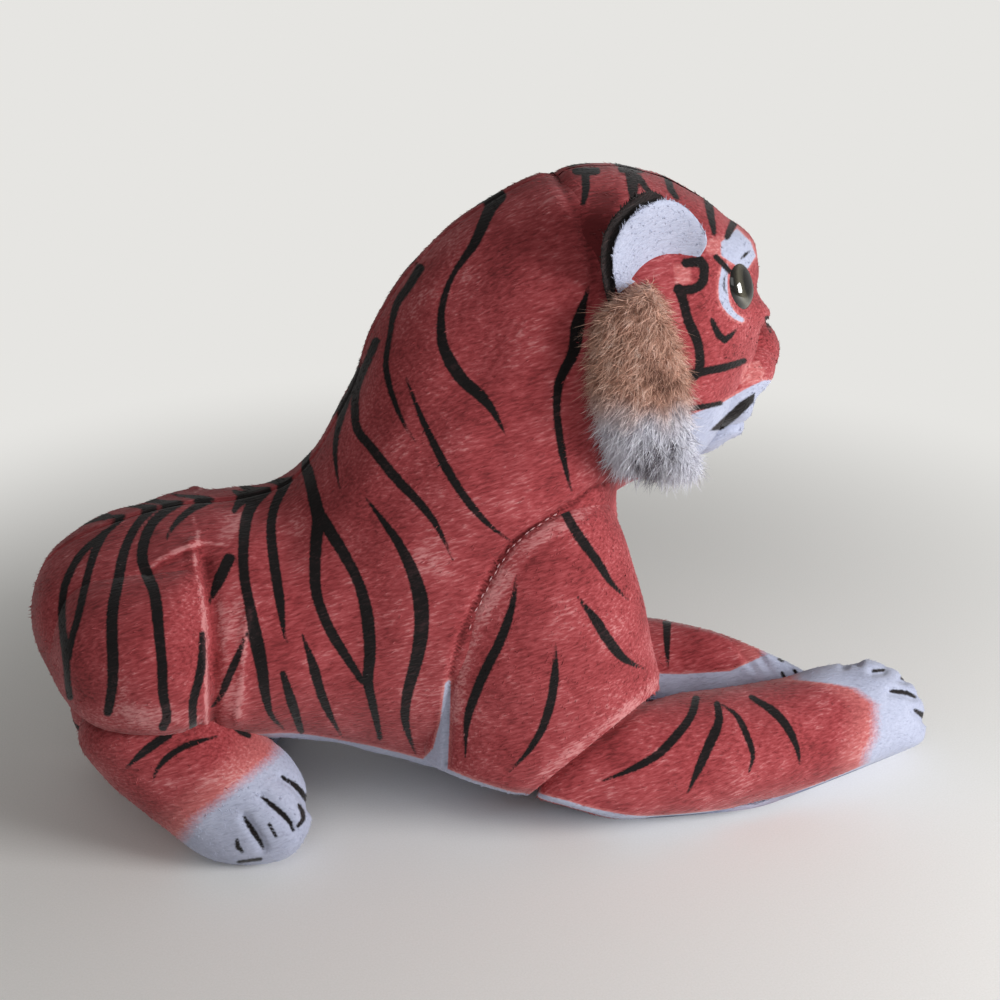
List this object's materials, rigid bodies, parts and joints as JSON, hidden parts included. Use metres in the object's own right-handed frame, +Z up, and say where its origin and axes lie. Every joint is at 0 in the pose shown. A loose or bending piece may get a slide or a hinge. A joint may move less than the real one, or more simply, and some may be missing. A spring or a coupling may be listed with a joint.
{
  "type": "plush tiger",
  "caption": "Stuffed toy tiger lying with its forelegs stretched forward, with a tilting head, ears that fold, and legs and tail that swing out at their seams.",
  "frame": {"origin": "on the floor, under the middle of the whole tiger", "axes": "+X towards the face, +Z up, +Y to the tiger's left"},
  "size_m": [0.304, 0.1368, 0.2114],
  "materials": {
    "red_velboa": "short pile polyester plush, brick red with printed black stripes",
    "white_velboa": "short pile polyester plush, white",
    "black_velboa": "short pile polyester plush, black",
    "long_pile": "long pile plush, tan fading to white",
    "nose_cloth": "short pile polyester plush, dark red",
    "fibrefill": "polyester fibre filling",
    "eye_plastic": "clear dome over an amber iris and a black pupil, high gloss",
    "washer_plastic": "moulded white plastic"
  },
  "bodies": {
    "body": {"body_panel_right": "red_velboa", "body_panel_left": "red_velboa", "belly_panel": "white_velboa", "body_filling": "fibrefill", "upper_arm_cover_right": "red_velboa", "upper_arm_filling_right": "fibrefill", "upper_arm_cover_left": "red_velboa", "upper_arm_filling_left": "fibrefill", "haunch_cover_right": "red_velboa", "haunch_filling_right": "fibrefill", "haunch_cover_left": "red_velboa", "haunch_filling_left": "fibrefill"},
    "head": {"head_panel_right": "red_velboa", "head_panel_left": "red_velboa", "head_filling": "fibrefill", "muzzle_cover": "red_velboa", "muzzle_filling": "fibrefill", "chin": "white_velboa", "nose": "nose_cloth", "cheek_ruff_right": "long_pile", "cheek_ruff_left": "long_pile", "eye_right": "eye_plastic", "eye_washer_right": "washer_plastic", "eye_left": "eye_plastic", "eye_washer_left": "washer_plastic"},
    "ear_right": {"ear_lining_right": "white_velboa", "ear_back_right": "black_velboa"},
    "ear_left": {"ear_lining_left": "white_velboa", "ear_back_left": "black_velboa"},
    "forearm_right": {"forearm_cover_right": "red_velboa", "forearm_underside_right": "white_velboa", "forearm_filling_right": "fibrefill"},
    "forearm_left": {"forearm_cover_left": "red_velboa", "forearm_underside_left": "white_velboa", "forearm_filling_left": "fibrefill"},
    "hind_foot_right": {"hind_foot_cover_right": "red_velboa", "hind_foot_filling_right": "fibrefill"},
    "hind_foot_left": {"hind_foot_cover_left": "red_velboa", "hind_foot_filling_left": "fibrefill"},
    "tail": {"tail_cover": "red_velboa", "tail_filling": "fibrefill"}
  },
  "joints": [
    {"name": "head_tilt", "type": "hinge", "parent": "body", "child": "head", "pos_m": [0.01598, -0.01512, 0.15745], "axis": [1, 0, 0], "range_deg": [-12, 12], "stiffness_Nm_per_rad": 0.12},
    {"name": "ear_right_fold", "type": "hinge", "parent": "head", "child": "ear_right", "pos_m": [0.03974, -0.04746, 0.18527], "axis": [0.8645, 0.2156, 0.454], "range_deg": [-15, 15], "stiffness_Nm_per_rad": 0.01},
    {"name": "ear_left_fold", "type": "hinge", "parent": "head", "child": "ear_left", "pos_m": [0.03974, 0.01722, 0.18527], "axis": [0.8645, -0.2156, 0.454], "range_deg": [-15, 15], "stiffness_Nm_per_rad": 0.01},
    {"name": "forearm_right_swing", "type": "hinge", "parent": "body", "child": "forearm_right", "pos_m": [0.04898, -0.0717, 0], "axis": [0, 0, -1], "range_deg": [0, 10], "stiffness_Nm_per_rad": 0.1},
    {"name": "forearm_left_swing", "type": "hinge", "parent": "body", "child": "forearm_left", "pos_m": [0.03698, 0.04146, 0], "axis": [0, 0, 1], "range_deg": [0, 10], "stiffness_Nm_per_rad": 0.1},
    {"name": "hind_foot_right_swing", "type": "hinge", "parent": "body", "child": "hind_foot_right", "pos_m": [-0.13902, -0.04086, 0], "axis": [0, 0, -1], "range_deg": [0, 10], "stiffness_Nm_per_rad": 0.06},
    {"name": "hind_foot_left_swing", "type": "hinge", "parent": "body", "child": "hind_foot_left", "pos_m": [-0.13902, 0.01062, 0], "axis": [0, 0, 1], "range_deg": [0, 10], "stiffness_Nm_per_rad": 0.06},
    {"name": "tail_swing", "type": "hinge", "parent": "body", "child": "tail", "pos_m": [-0.13002, -0.01424, 0.05165], "axis": [0, 0, 1], "range_deg": [0, 15], "stiffness_Nm_per_rad": 0.02}
  ]
}
